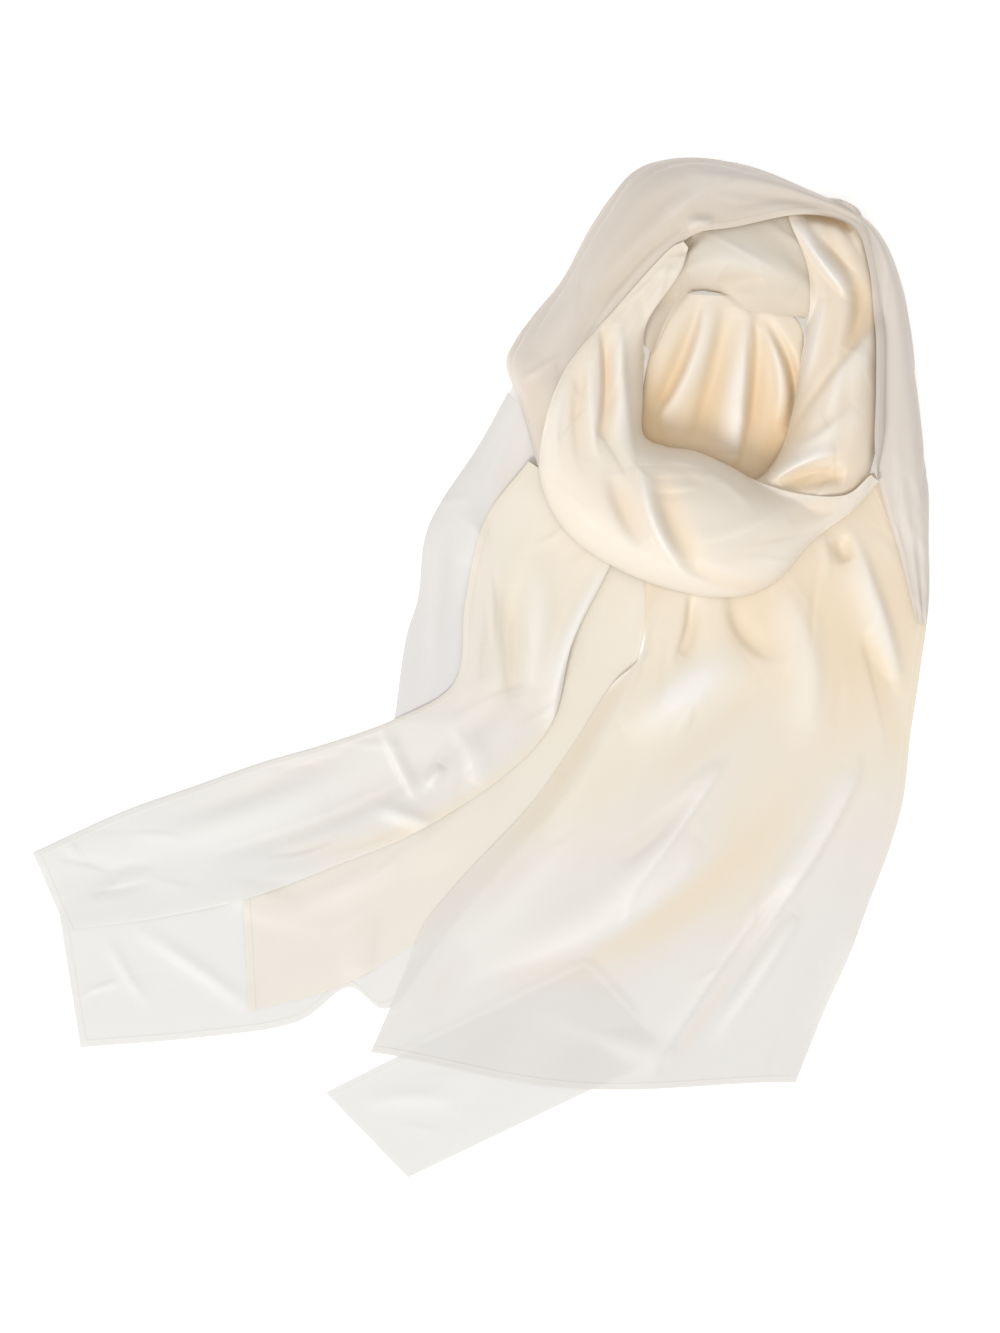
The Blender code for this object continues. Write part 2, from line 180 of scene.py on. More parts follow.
tailLeftUpper = {
    "name": "tail_left_upper_cloth",
    "nodes": ["tail_left_upper"],
    "slot": "stole_cloth",
    "steps": (360, 80),
    "warmShade": (0.7, 0.0),
    "seeThrough": 0.15,
    "hollow": 0.35,
    "paintedShading": (1.0, 1.0, 1.0),
    "flat": (0.1, 0.58),
    "restsOn": ["tail_left_inner_cloth", "side_left_cloth"],
    "ripples": (3, 0.8, 11),
    "crumples": (34, 1.1, 54),
    "hems": ["end", "a"],
    "sections": [
        Section(396, 574, 476, 520, 14, 18, 16),
        Section(362, 528, 454, 476, 6, 9, 8),
        Section(346, 464, 431, 429, 3, 5, 5),
        Section(338, 400, 415, 366, 2, 4, 3),
        Section(292, 370, 375, 322, 1, 4, 2),
        Section(238, 350, 306, 278, 1, 4, 2),
        Section(183, 334, 246, 253, 1, 4, 2),
        Section(126, 314, 174, 226, 1, 4, 2),
        Section(70, 294, 102, 210, 1, 3, 1),
        Section(0, 262, 27, 200, 0, 2, 0),
    ],
    "folds": [
        Fold(459, 490, 429, 429, 415, 368, 6, 7, -0.3),
        Fold(379, 477, 381, 430, 386, 385, 9, -4, 0.3),
        Fold(400, 500, 404, 440, 398, 395, 12, 3),
        Fold(281, 358, 292, 332, 304, 309, 5, 3.5, 0.4),
        Fold(327, 332, 322, 324, 316, 315, 5, 3.5),
        Fold(278, 297, 300, 290, 323, 282, 7, 3),
        Fold(340, 360, 352, 335, 350, 318, 9, 3, 0.4),
        Fold(238, 304, 158, 280, 62, 248, 20, 3),
        Fold(250, 340, 180, 312, 110, 286, 10, -2),
        Fold(300, 318, 230, 286, 150, 260, 6, -2, 0.4),
    ],
    "paintedShadeSpots": [
        Fold(440, 540, 430, 470, 410, 400, 40, 0.35),
        Fold(415, 362, 330, 290, 200, 262, 10, 0.5),
    ],
}

tailFrontTurnback = {
    "name": "tail_front_turnback_cloth",
    "nodes": ["tail_front_turnback"],
    "slot": "stole_cloth",
    "steps": (150, 54),
    "warmShade": (0.0, 0.0),
    "seeThrough": 0.1,
    "hollow": 0.2,
    "paintedShading": (1.0, 1.0, 1.0),
    "flat": (0.095, 0.25),
    "restsOn": ["floor"],
    "ripples": (2, 0.5, 13),
    "crumples": (8, 0.8, 55),
    "hems": ["a"],
    "sections": [
        Section(234, 70, 300, 2, 0, 0, 0),
        Section(306, 106, 373, 37, 0, 0, 0),
        Section(379, 141, 446, 72, 0, 0, 0),
        Section(442, 171, 508, 102, 0, 0, 0),
    ],
    "folds": [
        Fold(262, 60, 300, 66, 340, 62, 8, 1.5),
    ],
    "paintedShadeSpots": [],
}

tailFront = {
    "name": "tail_front_cloth",
    "nodes": ["tail_front"],
    "slot": "stole_cloth",
    "steps": (290, 220),
    "warmShade": (1.25, 0.0),
    "seeThrough": 0.15,
    "hollow": 0.25,
    "paintedShading": (0.955, 0.945, 0.935),
    "flat": (0.31, 0.44),
    "restsOn": ["tail_left_upper_cloth", "tail_front_turnback_cloth"],
    "ripples": (5, 1.0, 17),
    "crumples": (40, 1.1, 56),
    "hems": ["end", "b"],
    "sections": [
        Section(486, 508, 671, 565, 14, 18, 16),
        Section(490, 464, 697, 508, 6, 10, 6),
        Section(486, 420, 714, 459, 3, 4, 2),
        Section(462, 395, 710, 412, 2, 2, 1),
        Section(432, 348, 702, 356, 0, 0, 0),
        Section(398, 300, 696, 304, 0, 0, 0),
        Section(348, 247, 684, 262, 0, 0, 0),
        Section(314, 206, 668, 220, 0, 0, 0),
        Section(300, 172, 653, 180, 0, 0, 0),
        Section(286, 139, 634, 138, 0, 0, 0, 6),
        Section(270, 102, 610, 78, 0, 0, 0, 18),
    ],
    "folds": [
        Fold(567, 422, 526, 392, 473, 358, 17, 5),
        Fold(590, 400, 540, 352, 500, 322, 12, -4, 0.3),
        Fold(550, 334, 518, 286, 473, 226, 9, 6, -0.5),
        Fold(530, 312, 500, 282, 466, 262, 9, -5, 0.4),
        Fold(534, 272, 470, 217, 355, 170, 18, 5, -0.2),
        Fold(567, 294, 505, 214, 372, 158, 13, -5, 0.3),
        Fold(658, 328, 606, 236, 510, 109, 10, 8, -0.45),
        Fold(604, 234, 562, 176, 506, 92, 8, -7, 0.3),
        Fold(610, 212, 584, 170, 548, 118, 9, 5, -0.3),
        Fold(654, 512, 678, 448, 690, 400, 10, 5, -0.4),
        Fold(666, 430, 682, 380, 690, 340, 7, -5, 0.4),
        Fold(462, 395, 476, 408, 490, 422, 5, 4, 0.4),
        Fold(526, 466, 524, 440, 517, 420, 5, -6, 0.3),
        Fold(642, 514, 646, 504, 650, 494, 7, -6),
        Fold(600, 470, 620, 420, 618, 360, 14, 4, -0.3),
        Fold(560, 470, 566, 440, 590, 420, 8, -4, 0.3),
        Fold(470, 380, 440, 330, 400, 284, 12, 3, 0.4),
        Fold(450, 380, 420, 318, 360, 240, 9, -3, 0.3),
        Fold(620, 330, 560, 250, 480, 170, 16, -3, 0.2),
        Fold(440, 300, 400, 240, 340, 190, 14, 2.5),
        Fold(420, 130, 470, 110, 520, 96, 12, 2.5),
        Fold(660, 200, 648, 160, 630, 110, 12, 2.5),
        Fold(350, 190, 330, 160, 320, 130, 9, -2),
    ],
    "paintedShadeSpots": [
        Fold(680, 500, 670, 420, 640, 320, 50, 0.55),
        Fold(600, 340, 530, 230, 370, 160, 26, 0.5),
        Fold(560, 480, 590, 440, 620, 380, 60, 0.45),
        Fold(600, 300, 580, 230, 520, 140, 24, 0.35),
        Fold(520, 400, 450, 330, 400, 260, 34, 0.4),
        Fold(500, 375, 522, 392, 545, 408, 11, -0.7),
        Fold(420, 172, 470, 205, 560, 275, 8, -0.4),
    ],
}

neckBack = {
    "name": "neck_back_cloth",
    "nodes": ["neck_back"],
    "slot": "stole_cloth",
    "steps": (140, 110),
    "warmShade": (0.85, 1.9),
    "seeThrough": 0.0,
    "hollow": 0.5,
    "paintedShading": (0.95, 0.92, 0.89),
    "flat": (0.12, 0.17),
    "restsOn": ["tail_front_cloth"],
    "ripples": (4, 0.8, 19),
    "crumples": (12, 1.0, 57),
    "sections": [
        Section(522, 704, 590, 700, 36, 38, 36),
        Section(498, 676, 613, 676, 27, 31, 27),
        Section(486, 624, 610, 624, 12, 16, 12),
        Section(487, 588, 606, 588, 4, 8, 4),
        Section(505, 563, 596, 558, 0, 3, 0),
        Section(526, 544, 586, 540, 0, 1, 0),
    ],
    "folds": [
        Fold(537, 698, 524, 648, 501, 608, 7, 6, 0.4),
        Fold(530, 690, 512, 645, 500, 620, 8, -5, 0.2),
        Fold(552, 694, 544, 650, 528, 590, 9, -6, 0.3),
        Fold(566, 684, 564, 624, 561, 580, 9, 7, -0.5),
        Fold(576, 690, 577, 640, 572, 590, 6, -6, 0.3),
        Fold(584, 684, 596, 647, 597, 605, 8, 5, 0.3),
        Fold(582, 686, 606, 642, 603, 601, 5, -8),
    ],
    "paintedShadeSpots": [
        Fold(500, 640, 495, 600, 510, 570, 14, 0.5),
        Fold(600, 640, 600, 590, 590, 560, 14, 0.6),
    ],
}

loopCollar = {
    "name": "loop_collar_cloth",
    "nodes": ["loop_collar"],
    "slot": "stole_cloth",
    "steps": (130, 80),
    "warmShade": (0.75, 0.75),
    "seeThrough": 0.1,
    "hollow": 0.3,
    "paintedShading": (0.84, 0.8, 0.75),
    "flat": (0.09, 0.14),
    "restsOn": ["hidden_layers"],
    "ripples": (3, 0.8, 23),
    "crumples": (10, 1.0, 58),
    "sections": [
        Section(495, 658, 458, 686, 20, 38, 38),
        Section(508, 685, 476, 717, 20, 42, 42),
        Section(526, 706, 502, 744, 22, 46, 42),
        Section(543, 706, 538, 763, 24, 48, 42),
        Section(567, 692, 574, 768, 24, 48, 42),
        Section(594, 688, 607, 763, 24, 46, 42),
        Section(615, 686, 633, 734, 24, 42, 40),
    ],
    "folds": [
        Fold(518, 726, 562, 734, 610, 712, 18, 6),
        Fold(545, 716, 560, 712, 580, 716, 10, -3),
        Fold(499, 724, 512, 737, 527, 748, 5, -12),
        Fold(610, 766, 630, 765, 650, 755, 5, -10),
        Fold(480, 690, 500, 700, 514, 704, 8, -3),
    ],
    "paintedShadeSpots": [],
}

loopRight = {
    "name": "loop_right_cloth",
    "nodes": ["loop_right"],
    "slot": "stole_cloth",
    "steps": (190, 100),
    "warmShade": (1.0, 1.05),
    "seeThrough": 0.05,
    "hollow": 0.6,
    "paintedShading": (0.97, 0.94, 0.92),
    "flat": (0.1, 0.23),
    "restsOn": ["hidden_layers", "loop_collar_cloth"],
    "ripples": (4, 1.0, 29),
    "crumples": (14, 1.2, 59),
    "sections": [
        Section(597, 776, 650, 776, 42, 43, 34),
        Section(602, 757, 660, 754, 46, 46, 36),
        Section(615, 724, 673, 714, 44, 48, 20),
        Section(617, 690, 676, 672, 20, 50, 14),
        Section(612, 654, 676, 630, 12, 50, 12),
        Section(607, 618, 674, 592, 10, 48, 12),
        Section(599, 587, 663, 554, 10, 44, 12),
        Section(585, 565, 639, 526, 12, 38, 14),
        Section(569, 555, 610, 512, 14, 30, 16),
    ],
    "folds": [
        Fold(604, 760, 624, 730, 645, 704, 6, 8, 0.5),
        Fold(627, 700, 618, 664, 608, 628, 9, 5, -0.4),
        Fold(672, 676, 640, 640, 612, 600, 9, 6, 0.4),
        Fold(650, 660, 622, 622, 602, 590, 7, -4, 0.3),
        Fold(638, 580, 614, 572, 590, 560, 5, 6, -0.5),
        Fold(652, 614, 630, 594, 606, 580, 8, 4, 0.3),
        Fold(651, 710, 656, 688, 646, 660, 9, -8, 0.2),
        Fold(596, 553, 622, 560, 646, 560, 7, -9),
        Fold(612, 766, 634, 766, 652, 754, 6, -12),
        Fold(622, 744, 640, 730, 658, 700, 7, -4),
    ],
    "paintedShadeSpots": [],
}

loopHood = {
    "name": "loop_hood_cloth",
    "nodes": ["loop_hood", "side_right"],
    "slot": "stole_cloth",
    "steps": (560, 80),
    "warmShade": (0.3, 0.5),
    "seeThrough": 0.1,
    "hollow": 0.3,
    "paintedShading": (0.85, 0.8, 0.77),
    "flat": (0.075, 0.74),
    "restsOn": ["hidden_layers", "loop_collar_cloth", "loop_right_cloth"],
    "ripples": (3, 0.9, 31),
    "crumples": (34, 1.0, 60),
    "wall": (3.5, 17, 41),
    "hems": ["a"],
    "sections": [
        Section(706, 446, 716, 444, 6, 7, 3),
        Section(692, 500, 717, 498, 8, 11, 3),
        Section(680, 536, 716, 536, 12, 18, 2),
        Section(669, 580, 712, 577, 20, 24, 2),
        Section(669, 630, 706, 628, 26, 30, 2),
        Section(668, 680, 700, 678, 32, 36, 2),
        Section(663, 726, 689, 725, 40, 42, 3),
        Section(650, 757, 666, 763, 44, 42, 2),
        Section(610, 765, 614, 790, 50, 50, 0),
        Section(558, 755, 567, 809, 52, 54, 0),
        Section(526, 749, 519, 815, 53, 55, 0),
        Section(505, 730, 478, 803, 52, 55, 0),
        Section(484, 701, 448, 764, 50, 54, 0),
        Section(462, 670, 420, 715, 50, 52, 0),
        Section(438, 634, 389, 675, 48, 50, 0),
        Section(423, 600, 379, 652, 46, 48, 2),
        Section(418, 576, 391, 616, 36, 38, 8),
        Section(415, 555, 406, 563, 22, 24, 16),
    ],
    "folds": [
        Fold(406, 656, 462, 728, 526, 772, 14, 4, 0.3),
        Fold(502, 792, 566, 796, 638, 772, 14, 3),
        Fold(506, 764, 524, 778, 542, 790, 6, 2.5, 0.3),
        Fold(430, 640, 470, 706, 520, 752, 6, 3, -0.4),
        Fold(520, 756, 530, 758, 541, 757, 5, 4),
        Fold(440, 690, 470, 740, 516, 790, 9, -3),
        Fold(560, 772, 600, 778, 640, 764, 7, -3, 0.3),
        Fold(396, 640, 402, 616, 410, 588, 7, -3),
    ],
    "paintedShadeSpots": [
        Fold(540, 770, 500, 745, 450, 690, 18, 0.3),
    ],
}

loopFront = {
    "name": "loop_front_cloth",
    "nodes": ["loop_front"],
    "slot": "stole_cloth",
    "steps": (380, 110),
    "warmShade": (0.7, 0.6),
    "seeThrough": 0.0,
    "hollow": 0.5,
    "paintedShading": (1.03, 1.0, 0.97),
    "flat": (0.105, 0.4),
    "restsOn": ["hidden_layers", "loop_right_cloth", "loop_hood_cloth", "tail_front_cloth"],
    "ripples": (3, 0.8, 37),
    "crumples": (34, 1.2, 61),
    "sections": [
        Section(521, 738, 517, 743, 54, 55, 53),
        Section(514, 718, 503, 734, 56, 57, 55),
        Section(489, 680, 463, 690, 52, 58, 54),
        Section(488, 653, 426, 646, 14, 58, 46),
        Section(487, 622, 409, 602, 10, 58, 36),
        Section(488, 595, 406, 557, 10, 56, 24),
        Section(505, 586, 430, 514, 10, 54, 15),
        Section(529, 582, 481, 482, 12, 54, 12),
        Section(558, 569, 543, 466, 14, 52, 11),
        Section(582, 555, 588, 475, 16, 48, 11),
        Section(614, 546, 623, 512, 20, 42, 14),
        Section(646, 546, 654, 535, 24, 34, 18),
        Section(666, 562, 674, 557, 26, 28, 22),
    ],
    "folds": [
        Fold(454, 676, 457, 632, 452, 588, 6, -8, 0.4),
        Fold(466, 676, 470, 624, 478, 568, 8, 5, -0.4),
        Fold(440, 650, 434, 610, 438, 570, 7, -3, 0.3),
        Fold(446, 664, 444, 622, 450, 580, 5, 3.5, 0.3),
        Fold(426, 640, 416, 596, 420, 556, 6, 3, -0.3),
        Fold(486, 568, 494, 524, 520, 482, 7, 6, 0.5),
        Fold(499, 560, 506, 524, 528, 488, 10, -5, 0.2),
        Fold(462, 560, 470, 534, 486, 508, 9, -4, 0.3),
        Fold(520, 492, 560, 474, 600, 480, 6, -3, 0.2),
        Fold(640, 536, 620, 534, 600, 524, 8, -3),
    ],
    "paintedShadeSpots": [
        Fold(500, 560, 510, 520, 530, 488, 14, 0.35),
    ],
}

hiddenLayers = {
    "name": "hidden_layers",
    "nodes": ["ring_core"],
    "slot": "hidden_layers",
    "inset": 18,
    "drop": 8,
    "layered": (1.2, 9),
    "steps": (180, 40),
    "warmShade": (0.9, 0.9),
    "seeThrough": 0.1,
    "hollow": 0.3,
    "paintedShading": (1, 1, 1),
    "flat": (0.22, 0.36),
    "restsOn": ["tail_front_cloth", "tail_left_upper_cloth", "neck_back_cloth"],
    "ring": [
        RingSection(0, 62, 130, 46),
        RingSection(30, 80, 148, 48),
        RingSection(60, 61, 172, 50),
        RingSection(90, 70, 180, 53),
        RingSection(120, 68, 174, 54),
        RingSection(150, 55, 152, 52),
        RingSection(180, 64, 164, 50),
        RingSection(210, 73, 160, 52),
        RingSection(240, 62, 167, 52),
        RingSection(270, 64, 170, 48),
        RingSection(300, 80, 149, 42),
        RingSection(330, 67, 149, 44),
    ],
}


layOrder = [
    sideLeft,
    tailLeftLower,
    tailLeftInner,
    tailLeftUpper,
    tailFrontTurnback,
    tailFront,
    neckBack,
    hiddenLayers,
    loopCollar,
    loopRight,
    loopHood,
    loopFront,
]


def through(rows, steps, closed=False):
    # Points evenly spaced along a smooth curve through the rows of a table, as steps + 1 rows
    rows = np.array(rows, dtype=float)
    perSpan = 40
    count = len(rows)
    spans = count if closed else count - 1
    t = np.arange(perSpan)[:, None] / perSpan
    smooth = []
    for span in range(spans):
        if closed:
            before, here, there, after = (rows[(span + k) % count] for k in (-1, 0, 1, 2))
        else:
            here, there = rows[span], rows[span + 1]
            before = rows[span - 1] if span else 2 * here - there
            after = rows[span + 2] if span + 2 < count else 2 * there - here
        smooth.append(0.5 * (2 * here + (there - before) * t
                             + (2 * before - 5 * here + 4 * there - after) * t ** 2
                             + (3 * here - before - 3 * there + after) * t ** 3))
    smooth.append(rows[0:1] if closed else rows[-1:])
    smooth = np.concatenate(smooth)
    middle = (smooth[:, 0:2] + smooth[:, 2:4]) / 2
    run = np.concatenate([[0], np.cumsum(np.linalg.norm(np.diff(middle, axis=0), axis=1))])
    wanted = np.linspace(0, run[-1], steps + 1)
    return np.stack([np.interp(wanted, run, column) for column in smooth.T], axis=1)


def rounded(across, heightA, heightTop, heightB):
    roundness = 2.4
    arch = (1 - np.abs(2 * across - 1) ** roundness) ** (1 / roundness)
    edge = np.where(across < 0.5, heightA, heightB)
    return edge + (heightTop - edge) * arch


def foldHeight(fold, x, y):
    # A soft ridge or trough along the fold's curve, lower towards its ends and steeper on one side.
    segments = 20
    strengthAtEnds = 0.2
    t = np.linspace(0, 1, segments + 1)
    start, end = np.array([fold.startX, fold.startY]), np.array([fold.endX, fold.endY])
    control = 2 * np.array([fold.middleX, fold.middleY]) - (start + end) / 2
    t = t[:, None]
    curve = (1 - t) ** 2 * start + 2 * t * (1 - t) * control + t ** 2 * end
    nearestGap = np.full(x.shape, 1e9)
    alongCurve = np.zeros(x.shape)
    aside = np.zeros(x.shape)
    for index in range(segments):
        here, run = curve[index], curve[index + 1] - curve[index]
        length = np.hypot(*run)
        part = np.clip(((x - here[0]) * run[0] + (y - here[1]) * run[1]) / length ** 2, 0, 1)
        gap = np.hypot(x - here[0] - part * run[0], y - here[1] - part * run[1])
        closer = gap < nearestGap
        nearestGap = np.where(closer, gap, nearestGap)
        alongCurve = np.where(closer, (index + part) / segments, alongCurve)
        aside = np.where(closer, (run[0] * (y - here[1]) - run[1] * (x - here[0])) / length, aside)
    width = fold.width * (1 + fold.side * np.tanh(aside / (fold.width * 0.5)))
    strength = strengthAtEnds + (1 - strengthAtEnds) * np.sin(math.pi * alongCurve) ** 0.8
    return fold.height * strength * np.exp(-(nearestGap / width) ** 2)


def rippleHeight(piece, across, along):
    # Long faint ripples that run with the length of the cloth and wander a little across it.
    count, height, seed = piece["ripples"]
    waveCount = 7
    random = np.random.default_rng(seed)
    total = np.zeros(np.broadcast(across, along).shape)
    for _ in range(waveCount):
        waves = random.uniform(0.4, 1.0) * count
        wander = random.uniform(0.15, 0.5)
        drift = wander * np.sin(2 * math.pi * (random.uniform(0.5, 1.4) * along + random.uniform()))
        swell = 0.55 + 0.45 * np.sin(2 * math.pi * (random.uniform(0.6, 2.2) * along + random.uniform()))
        total = total + swell * np.sin(2 * math.pi * (waves * (across + 0.12 * drift) + random.uniform()))
    return total * height / 3


def crumpleHeight(piece, plan):
    # Short crisp creases, scattered and mostly running with the cloth
    count, height, seed = piece["crumples"]
    random = np.random.default_rng(seed)
    total = np.zeros(plan.shape[:2])
    rows, columns = total.shape
    for _ in range(count):
        i = random.integers(2, rows - 3)
        j = random.integers(2, columns - 3)
        ahead = plan[min(i + 3, rows - 1), j] - plan[i, j]
        angle = math.atan2(ahead[1], ahead[0]) + random.normal(0, 0.35)
        reach = random.uniform(12, 34)
        bend = random.uniform(-0.15, 0.15) * reach
        x, y = plan[i, j]
        dx, dy = math.cos(angle) * reach, math.sin(angle) * reach
        lift = height * random.choice([-1, 1]) * random.uniform(0.4, 1)
        crease = Fold(x - dx, y - dy, x - dy / reach * bend, y + dx / reach * bend, x + dx, y + dy,
                      random.uniform(2.5, 5), lift, random.uniform(-0.5, 0.5))
        near = np.hypot(plan[..., 0] - x, plan[..., 1] - y) < reach * 1.5 + 15
        i0, i1 = np.flatnonzero(near.any(axis=1))[[0, -1]]
        j0, j1 = np.flatnonzero(near.any(axis=0))[[0, -1]]
        part = plan[i0:i1 + 1, j0:j1 + 1]
        total[i0:i1 + 1, j0:j1 + 1] += foldHeight(crease, part[..., 0], part[..., 1])
    return total


def blurred(grid, passes=1):
    for _ in range(passes):
        padded = np.pad(grid, 1, mode="edge")
        grid = (padded[:-2, 1:-1] + 2 * padded[1:-1, 1:-1] + padded[2:, 1:-1]) / 4
        padded = np.pad(grid, 1, mode="edge")
        grid = (padded[1:-1, :-2] + 2 * padded[1:-1, 1:-1] + padded[1:-1, 2:]) / 4
    return grid


def widened(grid, passes):
    for _ in range(passes):
        padded = np.pad(grid, 1)
        rows, columns = grid.shape
        grid = np.max([padded[i:i + rows, j:j + columns] for i in range(3) for j in range(3)], axis=0)
    return grid


class Pile:
    # The height of the cloth laid so far, and how many layers lie there.
    def __init__(self):
        shape = [int((side + 2 * pileMargin) / pileCell) for side in pileSize]
        self.height = np.zeros(shape)
        self.layers = np.zeros(shape)

    def cells(self, points):
        index = ((points[..., 0:2] + pileMargin) / pileCell).astype(int)
        return index[..., 0], index[..., 1]

    def sampled(self, grid, points):
        # Bilinear reading of a map at the points.
        place = (points[..., 0:2] + pileMargin) / pileCell - 0.5
        low = np.floor(place).astype(int)
        part = place - low
        i, j = low[..., 0], low[..., 1]
        u, v = part[..., 0], part[..., 1]
        return (grid[i, j] * (1 - u) * (1 - v) + grid[i + 1, j] * u * (1 - v)
                + grid[i, j + 1] * (1 - u) * v + grid[i + 1, j + 1] * u * v)

    def lay(self, points):
        reached = blurred(widened(self.height, 2), 2)
        under = self.sampled(reached, points)
        merge = softMerge * np.clip(under / 3, 0, 1)
        gap = layerGap * np.clip(under / 0.6, 0, 1)
        a, b = points[..., 2], under + gap
        laid = points.copy()
        laid[..., 2] = 0.5 * (a + b + np.sqrt((a - b) ** 2 + merge ** 2))
        below = self.sampled(blurred(self.layers, 1), points)
        return laid, below

    def add(self, points, loop=False):
        corners = [points[:-1, :-1], points[1:, :-1], points[:-1, 1:], points[1:, 1:]]
        if loop:
            again = np.concatenate([points, points[:1]])
            corners = [again[:-1, :-1], again[1:, :-1], again[:-1, 1:], again[1:, 1:]]
        covered = np.zeros(self.height.shape)
        steps = np.linspace(0, 1, 4)
        for u in steps:
            for v in steps:
                sample = (corners[0] * (1 - u) * (1 - v) + corners[1] * u * (1 - v)
                          + corners[2] * (1 - u) * v + corners[3] * u * v)
                np.maximum.at(self.height, self.cells(sample), sample[..., 2])
                covered[self.cells(sample)] = 1
        self.layers += covered


# A socket's value: expressions on it add their own Math nodes.
class Value:
    def __init__(self, graph, socket):
        self.graph = graph
        self.socket = socket

    def math(self, operation, *others):
        inputs = {index + 1: other for index, other in enumerate(others)}
        inputs[0] = self
        return self.graph.node("ShaderNodeMath", {"operation": operation}, inputs).output(0)

    def __add__(self, other):
        return self.math("ADD", other)

    __radd__ = __add__

    def __mul__(self, other):
        return self.math("MULTIPLY", other)

    __rmul__ = __mul__

    def __sub__(self, other):
        return self.math("SUBTRACT", other)

    def __rsub__(self, other):
        return self.math("MULTIPLY", -1).math("ADD", other)

    def smoothstep(self, low, high):
        inputs = {"Value": self, "From Min": low, "From Max": high}
        settings = {"interpolation_type": "SMOOTHSTEP"}
        return self.graph.node("ShaderNodeMapRange", settings, inputs).output("Result")


class Node:
    def __init__(self, graph, node):
        self.graph = graph
        self.raw = node

    def output(self, key):
        return Value(self.graph, self.raw.outputs[key])


class Graph:
    def __init__(self, material):
        material.use_nodes = True
        self.tree = material.node_tree
        self.tree.nodes.clear()

    def node(self, kind, settings, inputs):
        made = self.tree.nodes.new(kind)
        for key, setting in settings.items():
            setattr(made, key, setting)
        for key, value in inputs.items():
            socket = made.inputs[key]
            if isinstance(value, Value):
                self.tree.links.new(value.socket, socket)
            else:
                socket.default_value = value
        return Node(self, made)

    def attribute(self, name):
        return self.node("ShaderNodeAttribute", {"attribute_name": name}, {}).output("Fac")

    def noise(self, coordinates, scale, detail):
        inputs = {"Vector": coordinates, "Scale": scale, "Detail": detail}
        return self.node("ShaderNodeTexNoise", {}, inputs).output("Fac")

    def mixed(self, factor, a, b):
        made = self.node("ShaderNodeMix", {"data_type": "RGBA"}, {0: factor, 6: a, 7: b})
        return made.output(2)


clothLook = {
    "single": (0.76, 0.755, 0.745, 1),
    "layersAndShade": (0.81, 0.725, 0.595, 1),
    "deep": (0.78, 0.59, 0.36, 1),
    "lit": (0.88, 0.865, 0.83, 1),
    "lightBehind": (0.86, 0.80, 0.68, 1),
    "roughness": 0.46,
    "translucency": 0.09,
    "cloudScale": 9.0,
    "grainScale": 60.0,
    "weaveScale": 0.31 / 0.0007,  # waves over two threads, 0.7 mm apart
    "hemEdge": 0.0006,
    "stitch": (0.0022, 0.0014, 0.001),  # how far in from the hem's inner edge it starts, is full and fades
}


def clothMaterial(name, paintedShading):
    material = bpy.data.materials.new(name)
    graph = Graph(material)
    layersAndShade = graph.attribute("layersAndShade")
    hollow = graph.attribute("hollow")
    ridge = graph.attribute("ridge")
    edge = graph.attribute("edge")
    coordinates = graph.node("ShaderNodeUVMap", {"uv_map": "clothPlan"}, {}).output("UV")
    cloudy = graph.noise(coordinates, clothLook["cloudScale"], 3.0)
    fine = graph.noise(coordinates, clothLook["grainScale"], 4.0)
    hem = 1 - edge.smoothstep(hemWidth - clothLook["hemEdge"], hemWidth + clothLook["hemEdge"])
    begins, full, fades = clothLook["stitch"]
    stitch = edge.smoothstep(hemWidth - begins, hemWidth - full) - edge.smoothstep(hemWidth - fades, hemWidth)
    # Towards the cream of stacked cloth, which is partly the real tone of the layers below and partly painted
    # warm shade.
    tone = (layersAndShade + hem * 0.08 + (cloudy - 0.5) * 0.3).smoothstep(-0.1, 1.1)
    colour = graph.mixed(tone, clothLook["single"], clothLook["layersAndShade"])
    # Painted warm shade, in troughs and where the painted warm shade runs past full.
    colour = graph.mixed(hollow, colour, clothLook["deep"])
    # Painted highlight on fold tops and on the spots painted with a highlight.
    colour = graph.mixed(ridge * 0.8, colour, clothLook["lit"])
    # Painted light and shade for the whole piece: its colour is multiplied, darker for pieces that face away
    # from the light, a little lighter for some that face it.
    shadingBlend = {"data_type": "RGBA", "blend_type": "MULTIPLY"}
    colour = graph.node("ShaderNodeMix", shadingBlend, {0: 1.0, 6: colour, 7: (*paintedShading, 1)}).output(2)
    weave = []
    for direction in ("X", "Y"):
        settings = {"wave_type": "BANDS", "bands_direction": direction, "wave_profile": "SIN"}
        inputs = {"Vector": coordinates, "Scale": clothLook["weaveScale"]}
        weave.append(graph.node("ShaderNodeTexWave", settings, inputs).output("Fac"))
    relief = weave[0] * 0.5 + weave[1] * 0.5 + fine * 1.2 + stitch * 2.0 + hem * 3.0
    inputs = {"Strength": 0.35, "Distance": 0.00012, "Height": relief}
    bump = graph.node("ShaderNodeBump", {}, inputs).output("Normal")
    roughness = (fine - 0.5) * 0.16 + clothLook["roughness"]
    cloth = graph.node("ShaderNodeBsdfPrincipled", {}, {
        "Base Color": colour, "Roughness": roughness, "Normal": bump,
        "Sheen Weight": 0.25, "Sheen Roughness": 0.4, "Specular IOR Level": 0.55,
    }).output("BSDF")
    passed = graph.node("ShaderNodeBsdfTranslucent", {}, {"Color": clothLook["lightBehind"]}).output("BSDF")
    inputs = {0: clothLook["translucency"], 1: cloth, 2: passed}
    both = graph.node("ShaderNodeMixShader", {}, inputs).output(0)
    graph.node("ShaderNodeOutputMaterial", {}, {"Surface": both})
    return material


